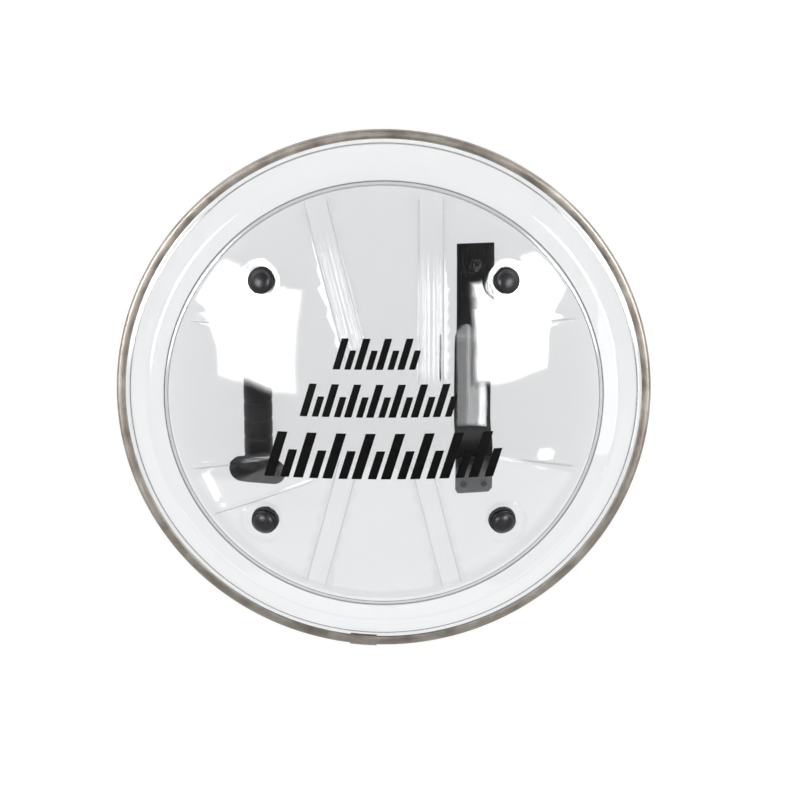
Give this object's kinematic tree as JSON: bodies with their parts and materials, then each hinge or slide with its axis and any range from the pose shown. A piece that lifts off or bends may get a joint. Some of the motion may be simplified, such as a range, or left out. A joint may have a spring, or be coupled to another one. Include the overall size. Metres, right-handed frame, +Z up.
{
  "type": "round riot shield",
  "caption": "Round clear polycarbonate riot shield: domed dish in a steel edge strip, with a grip and an arm strap on a ribbed inner sheet.",
  "frame": {"origin": "on the surface the shield lies on, below the middle of the dish", "axes": "+Z up, out of the domed front; +Y towards the top of the shield in use; +X to the right seen from the front"},
  "size_m": [0.58, 0.5808, 0.0924],
  "materials": {
    "clear_sheet": "clear moulded polycarbonate, polished",
    "steel_strip": "rolled stainless strip, satin",
    "black_plastic": "moulded black plastic, satin",
    "black_metal": "black coated steel",
    "webbing": "woven black nylon webbing",
    "grey_plate": "dark grey coated plate"
  },
  "bodies": {
    "root": {"clear_shell": "clear_sheet", "edge_binding": "steel_strip", "binding_joint_sleeve": "steel_strip", "backing_sheet": "clear_sheet", "bolt_cap_1": "black_plastic", "bolt_spacer_1": "black_plastic", "bolt_nut_1": "black_metal", "bolt_cap_2": "black_plastic", "bolt_spacer_2": "black_plastic", "bolt_nut_2": "black_metal", "bolt_cap_3": "black_plastic", "bolt_spacer_3": "black_plastic", "bolt_nut_3": "black_metal", "bolt_cap_4": "black_plastic", "bolt_spacer_4": "black_plastic", "bolt_nut_4": "black_metal", "handle": "black_plastic", "handle_screw_1": "black_metal", "handle_screw_2": "black_metal", "handle_screw_3": "black_metal", "handle_screw_4": "black_metal", "arm_strap": "webbing", "strap_keeper": "grey_plate", "strap_rivet_1": "black_metal", "strap_rivet_2": "black_metal", "strap_rivet_3": "black_metal", "strap_rivet_4": "black_metal"}
  },
  "joints": []
}
